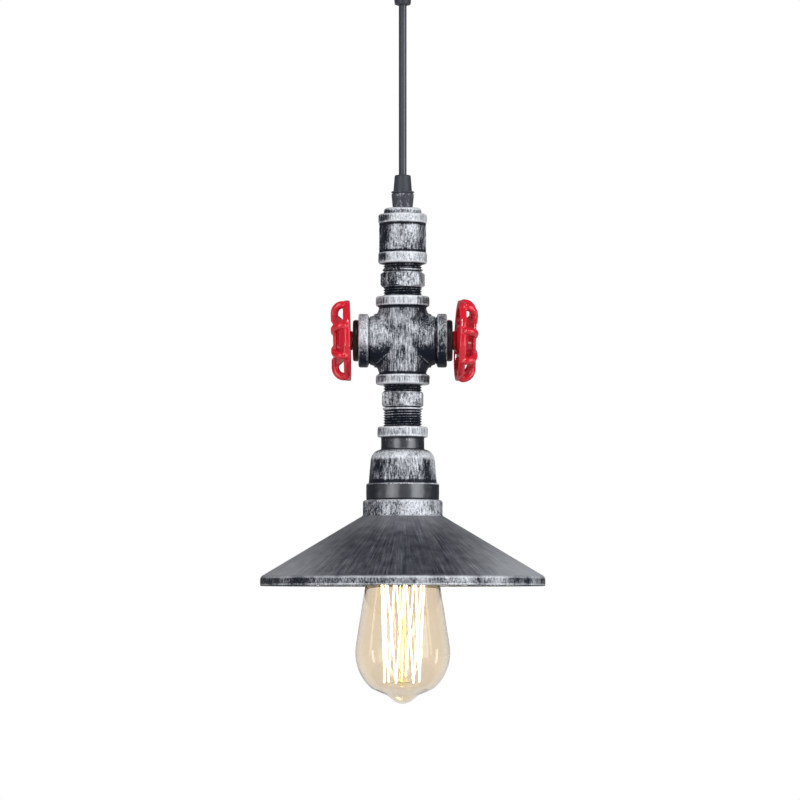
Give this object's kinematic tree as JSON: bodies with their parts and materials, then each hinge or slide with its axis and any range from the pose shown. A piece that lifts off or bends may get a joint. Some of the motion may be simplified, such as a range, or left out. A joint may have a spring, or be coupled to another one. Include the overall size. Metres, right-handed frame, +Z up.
{
  "type": "pendant lamp",
  "caption": "Pendant lamp of pipe fittings on a cord, with red valve handwheels, a shallow conical shade and an amber bulb that unscrews.",
  "frame": {"origin": "on the lamp's axis, where the ceiling bracket's top face meets the ceiling", "axes": "+Z up into the ceiling, +X along the cross's arms to the right handwheel, +Y away from the viewer"},
  "size_m": [0.2, 0.2, 0.5464],
  "materials": {
    "zinc_steel": "zinc plated, satin",
    "black_enamel": "satin black enamel",
    "black_screw": "black screw heads",
    "cream_plastic": "matt",
    "brass": "plain",
    "grip_body_grey": "black brushed with silver, speckled",
    "grip_slate": "satin slate grey",
    "cord_black": "smooth, slightly glossy",
    "core_plastic": "one brown, one blue, one green and yellow",
    "brushed_black_iron": "black with silver dry-brushed over it",
    "thread_black_iron": "satin black, hexagon brushed with silver",
    "plug_black": "satin black",
    "red_enamel": "glossy red enamel",
    "holder_black": "matt black",
    "porcelain": "glazed white",
    "brushed_black_shade": "black with fine radial silver strokes",
    "solder": "dull",
    "black_glass": "black vitreous insulator",
    "amber_glass": "clear amber",
    "clear_glass": "clear",
    "lead_wire": "plain",
    "filament_glow": "lit"
  },
  "bodies": {
    "ceiling_fitting": {"ceiling_bracket": "zinc_steel", "canopy": "black_enamel", "canopy_screws": "black_screw", "terminal_block": "cream_plastic", "terminal_screws": "zinc_steel", "block_screws": "zinc_steel", "earth_screw": "brass", "ceiling_grip_body": "grip_body_grey", "ceiling_grip_cap": "grip_slate", "ceiling_grip_clamp": "grip_slate", "ceiling_grip_nut": "zinc_steel", "supply_cord": "cord_black", "supply_cores": "core_plastic"},
    "cord_top": {"cord_upper": "cord_black"},
    "cord": {"cord_lower": "cord_black"},
    "lamp": {"lamp_grip_cap": "grip_slate", "lamp_grip_body": "grip_body_grey", "lamp_grip_clamp": "grip_slate", "lamp_grip_nut": "zinc_steel", "top_plug": "brushed_black_iron", "pipe_coupling": "brushed_black_iron", "upper_nipple": "thread_black_iron", "pipe_cross": "brushed_black_iron", "lower_nipple": "thread_black_iron", "bell_reducer": "brushed_black_iron", "left_plug": "plug_black", "right_plug": "plug_black", "wheel_screws": "zinc_steel", "wheel_washers": "zinc_steel", "bridge_washer": "zinc_steel", "hanger_tube": "zinc_steel", "hanger_nut": "zinc_steel", "earth_tag": "brass", "lampholder_cap": "holder_black", "lampholder_insert": "porcelain", "lampholder_shell": "brass", "lampholder_contact": "brass", "lampholder_screws": "brass", "lampholder_skirt": "holder_black", "shade_ring": "holder_black", "shade": "brushed_black_shade", "inner_cord": "cord_black", "inner_cores": "core_plastic"},
    "left_wheel": {"left_handwheel": "red_enamel"},
    "right_wheel": {"right_handwheel": "red_enamel"},
    "bulb_travel": {"bulb_contact": "solder"},
    "bulb": {"bulb_insulator": "black_glass", "bulb_cap": "brass", "bulb_glass": "amber_glass", "bulb_stem": "clear_glass", "bulb_leads": "lead_wire", "bulb_supports": "lead_wire", "bulb_filament": "filament_glow"}
  },
  "joints": [
    {"name": "swing_front_back", "type": "hinge", "parent": "ceiling_fitting", "child": "cord_top", "pos_m": [0, 0, -0.0536], "axis": [1, 0, 0], "range_deg": [-30, 30]},
    {"name": "swing_side", "type": "hinge", "parent": "cord_top", "child": "cord", "pos_m": [0, 0, -0.0666], "axis": [0, 1, 0], "range_deg": [-30, 30]},
    {"name": "cord_twist", "type": "hinge", "parent": "cord", "child": "lamp", "pos_m": [0, 0, -0.1746], "axis": [0, 0, 1], "range_deg": [-90, 90], "stiffness_Nm_per_rad": 0.01},
    {"name": "left_wheel_turn", "type": "hinge", "parent": "lamp", "child": "left_wheel", "pos_m": [-0.0381, 0, -0.2916], "axis": [-1, 0, 0], "continuous": true},
    {"name": "right_wheel_turn", "type": "hinge", "parent": "lamp", "child": "right_wheel", "pos_m": [0.0381, 0, -0.2916], "axis": [1, 0, 0], "continuous": true},
    {"name": "bulb_unscrew", "type": "slide", "parent": "lamp", "child": "bulb_travel", "axis": [0, 0, -1], "range_m": [0, 0.024]},
    {"name": "bulb_turn", "type": "hinge", "parent": "bulb_travel", "child": "bulb", "pos_m": [0, 0, -0.4044], "axis": [0, 0, -1], "range_deg": [0, 2400]}
  ],
  "couplings": [
    {"joint": "bulb_turn", "follows": "bulb_unscrew", "rad_per_m": 1735.7}
  ]
}
